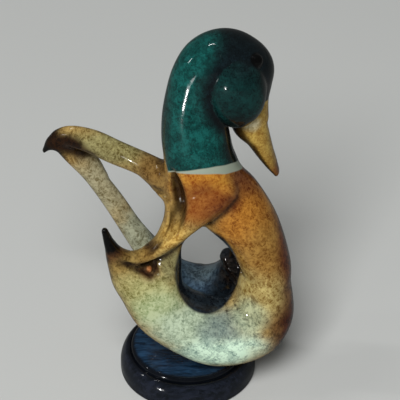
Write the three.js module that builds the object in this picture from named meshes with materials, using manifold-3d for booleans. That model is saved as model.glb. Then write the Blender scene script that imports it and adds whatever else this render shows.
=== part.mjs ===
// Glazed ceramic duck: a curled openwork body on a round plinth.
// Millimetres, +Z up. The origin is the centre of the plinth's flat underside.
// +X runs from the tail tips to the breast, -Y faces the side that is seen in the photograph.
import * as THREE from "three";
import Module from "manifold-3d";
import { mergeVertices } from "three/addons/utils/BufferGeometryUtils.js";

// Plinth: a bullnosed disc with a raised seat inside a narrow groove.
const PLINTH_HEIGHT = 18;
const PLINTH_RADIUS = 38.5;
const PLINTH_FOOT_RADIUS = 37.4;
const PLINTH_SIDE_TOP = 5.4;
const SHOULDER_TOP = 14.6;
const GROOVE_RADIUS = 32.8;
const GROOVE_FLOOR = 13.8;
const SEAT_RADIUS = 30.4;
const SEAT_EDGE = 1.7;
const EDGE_ROUNDING = 1.4;
const PLINTH_SIDES = 48;
const PROFILE_STEPS = 3;

// Gap between the duck's two rubbed-flat seats and the plinth.
const SEAT_GAP = 0.3;

// Steps along a limb between two sections, and facets around thick, middling and thin forms.
const STEPS = 2;
const THICK_SIDES = 24;
const MIDDLE_SIDES = 16;
const THIN_SIDES = 12;

// Each limb is a row of sections: x, y, z of its centre, half-width in the side view, half-depth.
// Neck: from inside the shoulders up to the nape, over the crown and down the forehead.
const NECK = [
  [6, -1, 109, 7, 6.5],
  [6.5, -0.5, 117, 15.5, 14.5],
  [7, 0, 126.5, 20, 18.5],
  [8, 0, 136.5, 21, 19],
  [6, 0, 150.5, 19, 18.5],
  [4.5, 2, 161.5, 18.5, 17.5],
  [4, 4.5, 173, 17.5, 16.5],
  [5, 7, 183.5, 16.5, 16],
  [8, 9, 192.5, 17, 16],
  [13, 10.5, 199.5, 18, 16.5],
  [19.5, 11.5, 202.5, 18, 16.5],
  [26, 12, 201, 17, 16],
  [32, 13, 196, 15, 14.5],
  [34.5, 13.5, 187, 11.5, 12],
  [36, 13.5, 177.5, 8, 10],
  [36.5, 13.5, 168, 7, 8],
];

// Bill: tucked down, flattened, with a blunt rounded end.
const BILL = [
  [32.5, 11, 172, 10, 10],
  [34, 11, 162.5, 10, 9.5],
  [38, 11.5, 154, 7, 9],
  [42, 13, 143.5, 5, 8],
  [45.5, 14.5, 135, 3.5, 7],
  [48.5, 15.5, 128, 2, 5],
];

// Body ring: down the breast, under the belly and up to the pointed near tail tip.
const RING = [
  [7.5, 0, 132.5, 19, 17.5],
  [14, -1, 127.5, 19, 18],
  [23, -2, 119, 19, 19],
  [35, -4, 102.5, 16, 19.5],
  [43, -6, 80.5, 14, 19],
  [43, -7.5, 69, 14.5, 19],
  [42.5, -9, 58.5, 16.5, 19],
  [41, -11, 48, 18, 18.5],
  [33.5, -13.5, 41, 20.5, 18.5],
  [18, -16, 38.5, 20, 19],
  [4, -18, 45, 19, 18.5],
  [-13, -19, 57, 17, 17],
  [-22.5, -20.5, 73.5, 15.5, 15],
  [-31.5, -22, 86, 12, 12],
  [-38.5, -23, 96.5, 6, 8],
  [-42.5, -24.5, 107, 2.5, 5],
  [-45, -25, 116.5, 1, 2],
];

// Flank: fills the ring out to the upright edge of its central opening.
const FLANK = [
  [-5, -17, 56.5, 9, 14],
  [-10, -18, 70, 8.5, 13.5],
  [-12, -18.5, 82.5, 9, 12.5],
  [-12, -18.5, 92.5, 9, 10.5],
  [-8.5, -18.5, 103, 6, 7],
  [-3, -19, 111, 3.5, 5],
  [0.5, -19, 117.5, 2, 3],
];

// Near wing: a fold that sweeps from the shoulder to the near tail tip.
const WING = [
  [20.5, -11.5, 135, 6.5, 8.5],
  [15, -13.5, 131.5, 8, 10.5],
  [9.5, -14.5, 127.5, 9, 10.5],
  [5, -16.5, 123, 8.5, 9.5],
  [0.5, -19, 119, 7, 8],
  [-7, -22, 112, 5.5, 7],
  [-14.5, -24, 105, 4, 6],
  [-22.5, -25, 101, 3, 5.5],
  [-30.5, -25.5, 99.5, 2, 4.5],
  [-37.5, -25.5, 102.5, 2.5, 4],
  [-41.5, -25, 108.5, 2, 3],
  [-44, -25, 116.5, 1, 1.5],
];

// Rim: the thin edge of the triangular tail opening.
const RIM = [
  [-15.5, 6, 125, 2.5, 5.5],
  [-12.5, 1, 123.5, 2, 6.5],
  [-10.5, -6, 121.5, 2, 7],
  [-10.5, -13.5, 118, 2, 6.5],
  [-12, -19, 114, 2, 6],
  [-15, -23, 109, 2, 5],
  [-20.5, -25, 102.5, 2, 4.5],
  [-28.5, -26, 96, 2, 4],
];

// Tail bar: from the nape's foot to the raised, curled far tail tip.
const TAIL_BAR = [
  [-3, 2, 130.5, 7.5, 11],
  [-14, 5, 132, 8, 9],
  [-24.5, 10, 136, 7, 6],
  [-39.5, 16, 139.5, 7.5, 5],
  [-53, 20, 144, 7.5, 4.5],
  [-65.5, 23, 145, 6.5, 4],
  [-74, 25.5, 140, 3.5, 3.5],
  [-79, 26.5, 133.5, 1, 2.5],
];

// Far limb: from the far tail tip down behind the ring and round to the breast.
const FAR_LIMB = [
  [-72, 25.5, 138, 2.5, 3.5],
  [-63.5, 26, 130, 5, 4],
  [-53, 26, 117.5, 5.5, 4.5],
  [-42, 26, 99.5, 6, 5],
  [-31.5, 26, 79.5, 6.5, 5.5],
  [-20.5, 25.5, 61.5, 8.5, 8],
  [-8.5, 24, 44, 13.5, 12.5],
  [7, 22, 37, 16, 15.5],
  [21, 17, 47, 13, 13],
  [31, 11, 64, 11, 11.5],
  [38.5, 3, 84, 9.5, 9],
  [37.5, -3, 99, 6, 6],
];

// Web: fills the valley between the tail bar and the far limb below the far tail tip.
const TAIL_WEB = [
  [-70, 26.5, 143, 2.5, 2.5],
  [-64.5, 27, 137.5, 3.5, 3.5],
  [-58.5, 27.5, 130.5, 4.5, 3],
  [-52.5, 27.5, 123.5, 4.5, 3],
  [-48, 27.5, 116, 2.5, 2.5],
];

// Valley: the solid floor between the rim and the wing.
const WING_VALLEY = [
  [-2, -2, 131, 7, 8],
  [-3.5, -8, 124.5, 6, 7],
  [-5.5, -12.5, 118, 5.5, 6],
  [-9, -16.5, 112, 4.5, 5],
  [-14, -20, 106.5, 3.5, 4],
  [-20, -22.5, 102.5, 2.5, 3.5],
];

// Channel: the hollow cut between the rim and the wing.
const WING_CHANNEL = [
  [-7.8, -13, 147, 1, 2.5],
  [-6.8, -14.5, 142.5, 2.4, 5.5],
  [-5.6, -16, 137, 3.2, 7],
  [-4.6, -18, 131, 3.4, 7.5],
  [-4.6, -20, 125.5, 3.2, 7],
  [-5.8, -22.5, 120.5, 2.6, 6],
  [-8, -25, 116.5, 1.8, 4.5],
  [-11, -27, 113.5, 1, 3],
];

// Fold: a rolled lip inside the ring's opening, where the far limb meets the breast.
const FOLD = [
  [22.5, 6, 75, 4.5, 5.5],
  [25, 5, 72, 6.5, 6.5],
  [28, 3.5, 68, 6.5, 6.5],
  [30, 1.5, 63, 5, 5.5],
];

// Knot: a three-sided hollow in the flank below the wing, with a bud in it.
const KNOT_CENTRE = [-20.8, -27.6, 90.8];
const KNOT_OUTWARD = [0.2, -0.75, 0.6];
const KNOT_RADIUS = 7.4;
const KNOT_DEPTH = 3;
const KNOT_RISE = 1.4;
const KNOT_TURN = 0.82;
const BUD_HALF_SIZES = [2.1, 1.9, 2.8];
const BUD_CENTRE = [-21, -26.4, 91.6];

// Cheeks: two overlapping ovals under the crown, centre and half-sizes.
const CHEEK_HALF_SIZES = [15.8, 14, 22];
const NEAR_CHEEK = [26.5, 1.5, 190];
const FAR_CHEEK = [22.5, 11.5, 190];

// Eyes: beads half sunk into the crown.
const EYE_RADIUS = 3.7;
const NEAR_EYE = [36.5, 2.8, 208.6];
const FAR_EYE = [27.6, 25.1, 208.6];

const wasm = await Module();
wasm.setup();

// Turns a closed geometry into a solid that can be joined and cut.
function solid(geometry) {
  geometry.deleteAttribute("normal");
  geometry.deleteAttribute("uv");
  const merged = mergeVertices(geometry);
  return new wasm.Manifold(new wasm.Mesh({
    numProp: 3,
    vertProperties: new Float32Array(merged.attributes.position.array),
    triVerts: new Uint32Array(merged.index.array),
  }));
}

// Turns a solid back into a geometry.
function toGeometry(body) {
  const mesh = body.getMesh();
  const geometry = new THREE.BufferGeometry();
  geometry.setAttribute("position", new THREE.Float32BufferAttribute(mesh.vertProperties, 3));
  geometry.setIndex(new THREE.Uint32BufferAttribute(mesh.triVerts, 1));
  geometry.computeVertexNormals();
  return geometry;
}

// Bends a cylinder along the smooth line through the sections, with oval, bluntly pointed ends.
function limb(sections, sides) {
  const steps = (sections.length - 1) * STEPS;
  const line = new THREE.CatmullRomCurve3(
    sections.map(([x, y, z]) => new THREE.Vector3(x, y, z)), false, "catmullrom");
  const sizes = new THREE.CatmullRomCurve3(
    sections.map(([, , , width, depth]) => new THREE.Vector3(width, depth, 0)), false, "catmullrom");
  const geometry = new THREE.CylinderGeometry(1, 1, 1, sides, steps);
  const position = geometry.attributes.position;
  const depthAxis = new THREE.Vector3(0, 1, 0);
  const endRise = 0.6;
  for (let i = 0; i < position.count; i += 1) {
    const across = position.getX(i);
    const along = position.getY(i) + 0.5;
    const deep = -position.getZ(i);
    const tangent = line.getTangent(along);
    const depth = depthAxis.clone().addScaledVector(tangent, -tangent.dot(depthAxis)).normalize();
    const width = new THREE.Vector3().crossVectors(depth, tangent);
    const size = sizes.getPoint(along);
    const point = line.getPoint(along)
      .addScaledVector(width, across * size.x)
      .addScaledVector(depth, deep * size.y);
    const isEndCentre = Math.hypot(across, deep) < 0.5;
    if (isEndCentre) {
      const rise = Math.sign(along - 0.5) * endRise * Math.min(size.x, size.y);
      point.addScaledVector(tangent, rise);
    }
    position.setXYZ(i, point.x, point.y, point.z);
  }
  return solid(geometry);
}

// An oval ball with the given centre and half-sizes.
function oval(centre, halfSizes, sides) {
  const geometry = new THREE.SphereGeometry(1, sides, Math.round(sides * 0.6));
  geometry.scale(...halfSizes);
  geometry.translate(...centre);
  return solid(geometry);
}

// A three-sided point that sinks into the flank, wide end outwards.
function knotHollow() {
  const outward = new THREE.Vector3(...KNOT_OUTWARD).normalize();
  const geometry = new THREE.ConeGeometry(KNOT_RADIUS, KNOT_DEPTH + KNOT_RISE, 3);
  geometry.rotateY(KNOT_TURN);
  geometry.rotateX(Math.PI);
  geometry.translate(0, (KNOT_RISE - KNOT_DEPTH) / 2, 0);
  const turn = new THREE.Quaternion().setFromUnitVectors(new THREE.Vector3(0, 1, 0), outward);
  geometry.applyQuaternion(turn);
  geometry.translate(...KNOT_CENTRE);
  return solid(geometry);
}

// Everything below the plane where the body sits on the plinth.
function belowSeat() {
  const span = 200;
  const geometry = new THREE.BoxGeometry(span, span, span);
  geometry.translate(0, 0, PLINTH_HEIGHT + SEAT_GAP - span / 2);
  return solid(geometry);
}

function duckGeometry() {
  const eyeSizes = [EYE_RADIUS, EYE_RADIUS, EYE_RADIUS];
  const body = limb(NECK, THICK_SIDES)
    .add(limb(RING, THICK_SIDES))
    .add(limb(FLANK, MIDDLE_SIDES))
    .add(limb(WING, MIDDLE_SIDES))
    .add(limb(RIM, THIN_SIDES))
    .add(limb(TAIL_BAR, MIDDLE_SIDES))
    .add(limb(FAR_LIMB, MIDDLE_SIDES))
    .add(limb(TAIL_WEB, THIN_SIDES))
    .add(limb(WING_VALLEY, THIN_SIDES))
    .add(limb(FOLD, THIN_SIDES))
    .subtract(limb(WING_CHANNEL, THIN_SIDES))
    .subtract(knotHollow())
    .add(oval(BUD_CENTRE, BUD_HALF_SIZES, THIN_SIDES))
    .add(limb(BILL, MIDDLE_SIDES))
    .add(oval(NEAR_CHEEK, CHEEK_HALF_SIZES, THICK_SIDES))
    .add(oval(FAR_CHEEK, CHEEK_HALF_SIZES, THICK_SIDES))
    .add(oval(NEAR_EYE, eyeSizes, THIN_SIDES))
    .add(oval(FAR_EYE, eyeSizes, THIN_SIDES))
    .subtract(belowSeat());
  return toGeometry(body);
}

// Turned profile of the plinth, from the centre of the underside to the centre of the seat.
function plinthGeometry() {
  const shoulderRadius = GROOVE_RADIUS + EDGE_ROUNDING;
  const profile = new THREE.Path();
  profile.moveTo(0, 0);
  profile.lineTo(PLINTH_FOOT_RADIUS, 0);
  profile.quadraticCurveTo(PLINTH_RADIUS, 0, PLINTH_RADIUS, EDGE_ROUNDING);
  profile.lineTo(PLINTH_RADIUS, PLINTH_SIDE_TOP);
  profile.bezierCurveTo(
    PLINTH_RADIUS, SHOULDER_TOP - 3 * SEAT_EDGE, shoulderRadius + SEAT_EDGE, SHOULDER_TOP,
    shoulderRadius, SHOULDER_TOP);
  profile.quadraticCurveTo(GROOVE_RADIUS, SHOULDER_TOP, GROOVE_RADIUS, GROOVE_FLOOR);
  profile.quadraticCurveTo(
    GROOVE_RADIUS, PLINTH_HEIGHT - SEAT_EDGE / 2, SEAT_RADIUS, PLINTH_HEIGHT - SEAT_EDGE / 4);
  profile.lineTo(SEAT_RADIUS - 2 * SEAT_EDGE, PLINTH_HEIGHT);
  profile.lineTo(0, PLINTH_HEIGHT);
  const points = profile.getPoints(PROFILE_STEPS);
  const geometry = new THREE.LatheGeometry(points, PLINTH_SIDES);
  geometry.rotateX(Math.PI / 2);
  return geometry;
}

// Speckled teal, orange and cream glaze, shown here as its average warm tone.
const duckGlaze = new THREE.MeshStandardMaterial({ color: 0x8a7a4e, roughness: 0.12, metalness: 0 });
const plinthGlaze = new THREE.MeshStandardMaterial({ color: 0x1c2030, roughness: 0.1, metalness: 0 });

const duck = new THREE.Mesh(duckGeometry(), duckGlaze);
duck.name = "duck";
const plinth = new THREE.Mesh(plinthGeometry(), plinthGlaze);
plinth.name = "round_base";

const figurine = new THREE.Group();
figurine.add(duck, plinth);

export default figurine;
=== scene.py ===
"""Looks of the glazed ceramic duck: a curled openwork body on a round plinth.

Metres, +Z up, +X from tail to breast. Shapes are worked out in mm and scaled as meshes.
"""
import itertools
import logging
import math
from dataclasses import dataclass
from enum import Enum

import bpy
import numpy as np
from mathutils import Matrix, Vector


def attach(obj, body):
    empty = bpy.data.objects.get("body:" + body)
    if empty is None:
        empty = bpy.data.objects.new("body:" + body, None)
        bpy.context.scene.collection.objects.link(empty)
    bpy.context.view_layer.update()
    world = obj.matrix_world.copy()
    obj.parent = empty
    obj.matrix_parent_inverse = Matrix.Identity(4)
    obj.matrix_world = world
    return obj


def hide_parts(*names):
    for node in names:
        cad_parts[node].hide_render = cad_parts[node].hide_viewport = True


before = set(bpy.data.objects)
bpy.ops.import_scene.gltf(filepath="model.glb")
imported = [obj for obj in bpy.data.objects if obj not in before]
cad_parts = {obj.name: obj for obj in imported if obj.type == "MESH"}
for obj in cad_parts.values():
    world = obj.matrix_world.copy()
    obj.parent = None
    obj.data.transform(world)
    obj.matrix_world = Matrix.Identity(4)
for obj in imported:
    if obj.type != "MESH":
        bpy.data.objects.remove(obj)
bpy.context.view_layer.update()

log = logging.getLogger("duck")
Row = tuple[float, ...]
Array = np.ndarray
Socket = bpy.types.NodeSocket
MM = 0.001
PLINTH_TOP = 18.0
VIEW_SLANT = 0.75  # height that a mm of depth is worth, seen from the photograph's side
SHADER = "Principled BSDF"
CORNERS = list(itertools.product((0, 1), repeat=3))


class Body(Enum):
    """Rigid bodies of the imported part."""

    ROOT = "root"


class CadNode(Enum):
    """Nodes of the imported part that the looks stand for."""

    DUCK = "duck"
    PLINTH = "round_base"


class Slot(Enum):
    """Material slots of the record."""

    DUCK = "duck_glaze"
    PLINTH = "base_glaze"


class Join(Enum):
    """How a clay form meets what is already there."""

    ADD = "add"
    CUT = "cut"


class Coat(Enum):
    """Sprayed coats; each has its own colours on the mesh."""

    BODY = "body"
    HEAD = "head"
    BILL = "bill"
    INNER = "inner"
    PLINTH = "plinth"


class Edge(Enum):
    """Crisp painted edges, kept on the mesh as a distance in mm, positive inside."""

    COLLAR_TOP = "collar_top"
    COLLAR_FOOT = "collar_foot"
    BILL = "bill_edge"
    EYE = "eye_edge"
    INNER = "inner_edge"


def blend_low(first: Array, second: Array, fillet: float) -> Array:
    """Joins two distance fields with a rounded crease.

    Args:
        first: distances to one form, in mm.
        second: distances to the other.
        fillet: how wide the rounding is, in mm.

    Returns:
        The distances to both together.
    """
    overlap = np.maximum(fillet - np.abs(first - second), 0.0) / fillet
    return np.minimum(first, second) - overlap * overlap * fillet * 0.25


def ease(values: Array) -> Array:
    """Smooth step from 0 to 1 over the range 0 to 1."""
    held = np.clip(values, 0.0, 1.0)
    return held * held * (3.0 - 2.0 * held)


def ramp(values: Array, start: float, width: float) -> Array:
    """Smooth step from 0 to 1 that begins at start and takes width."""
    return ease((values - start) / width)


def unit(ways: Array, least: float = 0.0) -> Array:
    """Directions of length 1, one a row."""
    return ways / np.maximum(np.linalg.norm(ways, axis=1), least)[:, None]


def corners_of(grid: Array) -> Array:
    """Looks up a grid at the eight corners of each of its cells.

    Args:
        grid: values at the grid points.

    Returns:
        Eight arrays of values, stacked.
    """
    return np.stack([grid[tuple(slice(a, n - 1 + a) for a, n in zip(corner, grid.shape))]
                     for corner in CORNERS])


class Form:
    """A clay form that can say how far points are from its surface."""

    def distance(self, points: Array) -> Array:
        """Says how far points are from the surface.

        Args:
            points: where to measure, in mm, one a row.

        Returns:
            Distances in mm, negative inside.
        """
        raise NotImplementedError


@dataclass(eq=False)
class Limb(Form):
    """A limb swept through oval sections along a smooth line.

    Each row is a section: x, y, z of its centre, its half-width seen from the side, its half-depth.
    """

    rows: tuple[Row, ...]
    samples: int = 90
    fold_fillet: float = 0.0
    fold_centre: Row = (30.0, -12.0, 60.0)
    fold_reach: float = 27.0
    fold_apart: int = 8
    reach: float = 12.0
    chunk: int = 150000

    def __post_init__(self) -> None:
        """Works out the centre line, its directions and the section sizes."""
        sweep = self._through(np.array(self.rows, float))
        self.line = sweep[:, :3]
        along = np.gradient(self.line, axis=0)
        self.along = unit(along)
        self.depth = unit(np.array([0.0, 1.0, 0.0]) - self.along * self.along[:, 1:2])
        self.width = np.cross(self.depth, self.along)
        least = 0.4
        self.half_width = np.maximum(sweep[:, 3], least)
        self.half_depth = np.maximum(sweep[:, 4], least)
        self.spacing = np.linalg.norm(np.diff(self.line, axis=0), axis=1)
        self.bend = np.gradient(self.along, axis=0) / np.linalg.norm(along, axis=1)[:, None]

    def _through(self, rows: Array) -> Array:
        """Samples a uniform Catmull-Rom curve through the rows.

        Args:
            rows: the sections.

        Returns:
            A row per sample.
        """
        count = len(rows)
        padded = np.vstack([2 * rows[0] - rows[1], rows, 2 * rows[-1] - rows[-2]])
        place = np.linspace(0, count - 1, self.samples)
        i = np.minimum(place.astype(int), count - 2)
        f = (place - i)[:, None]
        before, start, end, after = (padded[i + k] for k in range(4))
        leave, arrive = (end - before) / 2, (after - start) / 2
        cubic = 2 * start - 2 * end + leave + arrive
        square = -3 * start + 3 * end - 2 * leave - arrive
        return cubic * f**3 + square * f**2 + leave * f + start

    def _near(self, points: Array) -> Array:
        """Measures close to the limb, with the inside of a fold rounded.

        Args:
            points: places in mm.

        Returns:
            Signed distances in mm.
        """
        line = self.line
        square = (points * points).sum(1)[:, None] - 2 * points @ line.T
        square += (line * line).sum(1)[None]
        nearest = square.argmin(1)
        found = self._from_foot(points, nearest, False)
        if not self.fold_fillet:
            return found
        away = np.linalg.norm(points - np.array(self.fold_centre), axis=1) / self.fold_reach
        inside = np.flatnonzero(away < 1)
        square = square[inside]
        apart = np.abs(np.arange(len(line))[None] - nearest[inside, None])
        square[apart < self.fold_apart] = np.inf
        across = self._from_foot(points[inside], square.argmin(1), True)
        across += 3 * self.fold_fillet * (1 - ease(2 - 2 * away[inside]))
        found[inside] = blend_low(found[inside], across, self.fold_fillet)
        return found

    def _from_foot(self, points: Array, i: Array, round_end: bool) -> Array:
        """Distances measured from the sections near given samples of the line.

        Args:
            points: places in mm.
            i: the sample that each point is measured from.
            round_end: whether the section closes like an end.

        Returns:
            Signed distances in mm.
        """
        line, last = self.line, len(self.line) - 1
        toward = points - line[i]
        tightness = 1 - (toward * self.bend[i]).sum(1)
        ahead = (toward * self.along[i]).sum(1) / np.maximum(tightness, 0.35)
        gap = self.spacing[np.where(ahead >= 0, np.minimum(i, last - 1), np.maximum(i - 1, 0))]
        t = np.clip(i + np.clip(ahead / gap, -1, 1), 0, last)
        j = np.minimum(t.astype(int), last - 1)
        f = t - j

        def at(values: Array) -> Array:
            """Values of the sweep at each point's place on the line."""
            share = f[:, None] if values.ndim == 2 else f
            return values[j] * (1 - share) + values[j + 1] * share

        offset = points - at(line)
        p, q = at(self.half_width), at(self.half_depth)
        r = np.minimum(p, q)
        across = (offset * at(self.width)).sum(1)
        deep = (offset * at(self.depth)).sum(1)
        at_end = (t <= 0) | (t >= last) | round_end
        beyond = np.where(at_end, (offset * at(self.along)).sum(1), 0.0)
        k = np.sqrt((across / p) ** 2 + (deep / q) ** 2 + (beyond / r) ** 2)
        k = np.maximum(k, 1e-4)
        steep = np.sqrt((across / p**2) ** 2 + (deep / q**2) ** 2 + (beyond / r**2) ** 2) / k
        return (k - 1) / np.maximum(steep, 1e-3)

    def distance(self, points: Array) -> Array:
        """Signed distance in mm, and a large number far from the limb."""
        size = np.maximum(self.half_width, self.half_depth)[:, None]
        low = (self.line - size).min(0) - self.reach
        high = (self.line + size).max(0) + self.reach
        close = np.flatnonzero(np.all((points > low) & (points < high), axis=1))
        found = np.full(len(points), 1e3)
        for start in range(0, len(close), self.chunk):
            part = close[start:start + self.chunk]
            found[part] = self._near(points[part])
        return found


@dataclass(frozen=True)
class Oval(Form):
    """An oval ball."""

    centre: Row
    half_sizes: Row

    def distance(self, points: Array) -> Array:
        """Signed distance in mm."""
        offset = points - np.array(self.centre)
        sizes = np.array(self.half_sizes)
        k = np.maximum(np.sqrt(((offset / sizes) ** 2).sum(1)), 1e-3)
        return k * (k - 1) / np.maximum(np.sqrt(((offset / sizes**2) ** 2).sum(1)), 1e-4)


@dataclass(frozen=True)
class ThreeSidedPoint(Form):
    """A hollow with three sides that narrows as it sinks in."""

    centre: Row
    outward: Row
    radius: float
    depth: float
    turn: float
    mouth: float = 2.0
    corner: float = 1.5

    def distance(self, points: Array) -> Array:
        """Signed distance in mm to the walls of the hollow."""
        out = np.array(self.outward) / np.linalg.norm(self.outward)
        right = np.cross(np.array([0.0, 0.0, 1.0]), out)
        right /= np.linalg.norm(right)
        up = np.cross(out, right)
        offset = points - np.array(self.centre)
        rise = offset @ out
        inner = self.radius / 2
        slope = inner / self.depth
        found = None
        for side in range(3):
            angle = self.turn + side * math.tau / 3
            across = offset @ right * math.cos(angle) + offset @ up * math.sin(angle)
            wall = (across - inner - rise * slope) / math.hypot(1.0, slope)
            found = wall if found is None else -blend_low(-found, -wall, self.corner)
        return np.maximum(found, rise - self.mouth)


@dataclass
class Step:
    """One form joined to, or cut from, the clay so far."""

    form: Form
    fillet: float
    join: Join = Join.ADD


@dataclass(eq=False)
class Clay(Form):
    """A body built up step by step and rubbed flat where it stands."""

    steps: list[Step]
    floor: float = -1e6

    def distance(self, points: Array) -> Array:
        """Signed distance in mm to the finished body."""
        found = self.steps[0].form.distance(points)
        for step in self.steps[1:]:
            other = step.form.distance(points)
            if step.join is Join.ADD:
                found = blend_low(found, other, step.fillet)
            else:
                found = -blend_low(-found, other, step.fillet)
        return np.maximum(found, self.floor - points[:, 2])

    def outward(self, points: Array, step: float = 0.25) -> Array:
        """Takes the gradient of the distance from four nearby points.

        Args:
            points: places in mm.
            step: how near they are, in mm.

        Returns:
            A vector per point, about 1 long.
        """
        found = np.zeros_like(points)
        for corner in ((1, 1, 1), (1, -1, -1), (-1, 1, -1), (-1, -1, 1)):
            way = np.array(corner, float)
            found += self.distance(points + way * step)[:, None] * way
        return found / (4 * step)


@dataclass
class Skinner:
    """Wraps a quad mesh round a clay form."""

    low: Row
    high: Row
    cell: float
    coarse: int = 4
    margin: float = 9.0
    polish: int = 2

    def _grid(self, form: Form) -> Array:
        """Fills a regular grid, exactly near the surface and roughly elsewhere.

        Args:
            form: the clay to wrap.

        Returns:
            Distances in mm.
        """
        low, high = np.array(self.low), np.array(self.high)
        big = self.cell * self.coarse
        cells = np.ceil((high - low) / big).astype(int)
        marks = [low[a] + big * np.arange(cells[a] + 1) for a in range(3)]
        rough_at = np.stack(np.meshgrid(*marks, indexing="ij"), -1)
        rough = form.distance(rough_at.reshape(-1, 3)).reshape(cells + 1)
        close = np.abs(corners_of(rough)).min(0) < self.margin
        values = rough[:-1, :-1, :-1]
        for axis in range(3):
            close = np.repeat(close, self.coarse, axis=axis)
            values = np.repeat(values, self.coarse, axis=axis)
        values[close] = form.distance(low + np.argwhere(close) * self.cell)
        return values

    def skin(self, form: Form) -> tuple[Array, Array]:
        """Surface nets: a vertex in each crossed cell, a quad round each crossed edge.

        Args:
            form: the clay to wrap.

        Returns:
            The vertices in mm and the quads.
        """
        values = self._grid(form)
        inside = values < 0
        sides = corners_of(inside)
        crossed = sides.any(0) & ~sides.all(0)
        cells = np.argwhere(crossed)
        number = np.full(crossed.shape, -1)
        number[crossed] = np.arange(len(cells))
        total, weight = np.zeros((len(cells), 3)), np.zeros(len(cells))
        for first, second in itertools.combinations(CORNERS, 2):
            a, b = np.array(first), np.array(second)
            if np.abs(a - b).sum() != 1:
                continue
            here, there = values[tuple((cells + a).T)], values[tuple((cells + b).T)]
            cut = (here < 0) != (there < 0)
            share = np.where(cut, here / np.where(cut, here - there, 1), 0)
            total += np.where(cut[:, None], a + (b - a) * share[:, None], 0)
            weight += cut
        vertices = np.array(self.low) + (cells + total / weight[:, None]) * self.cell
        return vertices, self._quads(inside, number)

    def _quads(self, inside: Array, number: Array) -> Array:
        """Lays a quad round each grid edge that the surface crosses.

        Args:
            inside: whether each grid point is in the clay.
            number: the vertex of each cell.

        Returns:
            Four corner numbers a row.
        """
        shape, quads = inside.shape, []
        for axis in range(3):
            low, high = ([slice(1, n - 1) for n in shape] for _ in range(2))
            low[axis], high[axis] = slice(0, shape[axis] - 1), slice(1, shape[axis])
            edge = np.argwhere(inside[tuple(low)] != inside[tuple(high)])
            edge += np.arange(3) != axis
            u, v = (np.eye(3, dtype=int)[(axis + turn) % 3] for turn in (1, 2))
            quad = np.stack([number[tuple((edge - back).T)] for back in (u + v, v, 0 * u, u)], 1)
            inward = ~inside[tuple(edge.T)]
            quad[inward] = quad[inward][:, ::-1]
            quads.append(quad)
        return np.vstack(quads)

    def settle(self, form: Clay, vertices: Array) -> tuple[Array, Array]:
        """Moves the vertices onto the true surface.

        Args:
            form: the clay.
            vertices: places near its surface, in mm.

        Returns:
            The settled vertices and their normals.
        """
        for _ in range(self.polish):
            slope = form.outward(vertices)
            steep = np.maximum((slope * slope).sum(1), 0.05)
            move = form.distance(vertices) / steep
            vertices = vertices - np.clip(move, -self.cell, self.cell)[:, None] * slope
        return vertices, unit(form.outward(vertices), 1e-6)


@dataclass
class Drift:
    """Smooth seeded noise that wavers between -1 and 1."""

    seed: int
    cell: float
    side: int = 32

    def __post_init__(self) -> None:
        """Draws the lattice."""
        self.table = np.random.default_rng(self.seed).random((self.side,) * 3)

    def at(self, points: Array) -> Array:
        """Looks the noise up.

        Args:
            points: places in mm.

        Returns:
            A value from -1 to 1 per point.
        """
        place = points / self.cell
        i = np.floor(place).astype(int)
        f = ease(place - i)
        found = np.zeros(len(points))
        for corner in CORNERS:
            weight = np.prod(np.where(corner, f, 1 - f), axis=1)
            j = (i + corner) % self.side
            found += weight * self.table[j[:, 0], j[:, 1], j[:, 2]]
        return 2 * found - 1


def linear(code: str) -> Array:
    """Linear red, green and blue of a colour written as six hex digits."""
    values = np.array([int(code[i:i + 2], 16) for i in (0, 2, 4)]) / 255
    return np.where(values <= 0.04045, values / 12.92, ((values + 0.055) / 1.055) ** 2.4)


@dataclass(frozen=True)
class Patch:
    """A soft patch of surface: what lies in an oval ball; reach is how far it goes, in mm."""

    centre: Row
    reach: Row
    strength: float = 1.0
    softness: float = 0.5

    def cover(self, points: Array, waver: Array | float) -> Array:
        """Says how much of the surface the patch covers.

        Args:
            points: places in mm.
            waver: noise that roughens its edge.

        Returns:
            A share from 0 to 1 per point.
        """
        away = np.sqrt((((points - np.array(self.centre)) / np.array(self.reach)) ** 2).sum(1))
        edge = (1 + self.softness - away - waver * 0.25 * self.softness) / (2 * self.softness)
        return self.strength * ease(edge)


class Paint:
    """Colours carried by each vertex: a ground, the lace over it and how much lace shows."""

    def __init__(self, count: int, ground: str, lace: str, share: float) -> None:
        """Covers the whole surface with one pair of colours.

        Args:
            count: how many vertices there are.
            ground: six hex digits of the ground.
            lace: those of the lace.
            share: how much lace shows, from 0 to 1.
        """
        self.values = np.zeros((count, 7))
        self.lay(np.ones(count), ground, lace, share)

    def lay(self, cover: Array, ground: str, lace: str, share: float) -> None:
        """Lays a pair of colours over what is there.

        Args:
            cover: how much of it, from 0 to 1 per vertex.
            ground: six hex digits of the ground.
            lace: those of the lace.
            share: how much lace shows.
        """
        wanted = np.array([*linear(ground), *linear(lace), share])
        self.values += (wanted - self.values) * cover[:, None]

    def shade(self, cover: Array, tint: str) -> None:
        """Darkens both colours: painted shade, and glaze gathered in creases.

        Args:
            cover: how much, from 0 to 1 per vertex.
            tint: six hex digits of the dark.
        """
        colours = self.values[:, :6]
        colours += (np.tile(linear(tint), 2) - colours) * cover[:, None]

    def store(self, mesh: bpy.types.Mesh, coat: Coat) -> None:
        """Writes the colours to a mesh.

        Args:
            mesh: the mesh that was painted.
            coat: what names its attributes.
        """
        for name, colours in (("ground", self.values[:, :3]), ("lace", self.values[:, 3:6])):
            layer = mesh.attributes.new(f"{coat.value}_{name}", "FLOAT_COLOR", "POINT")
            full = np.hstack([colours, np.ones((len(colours), 1))])
            layer.data.foreach_set("color", full.astype(np.float32).ravel())
        store_values(mesh, f"{coat.value}_share", self.values[:, 6])


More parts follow.
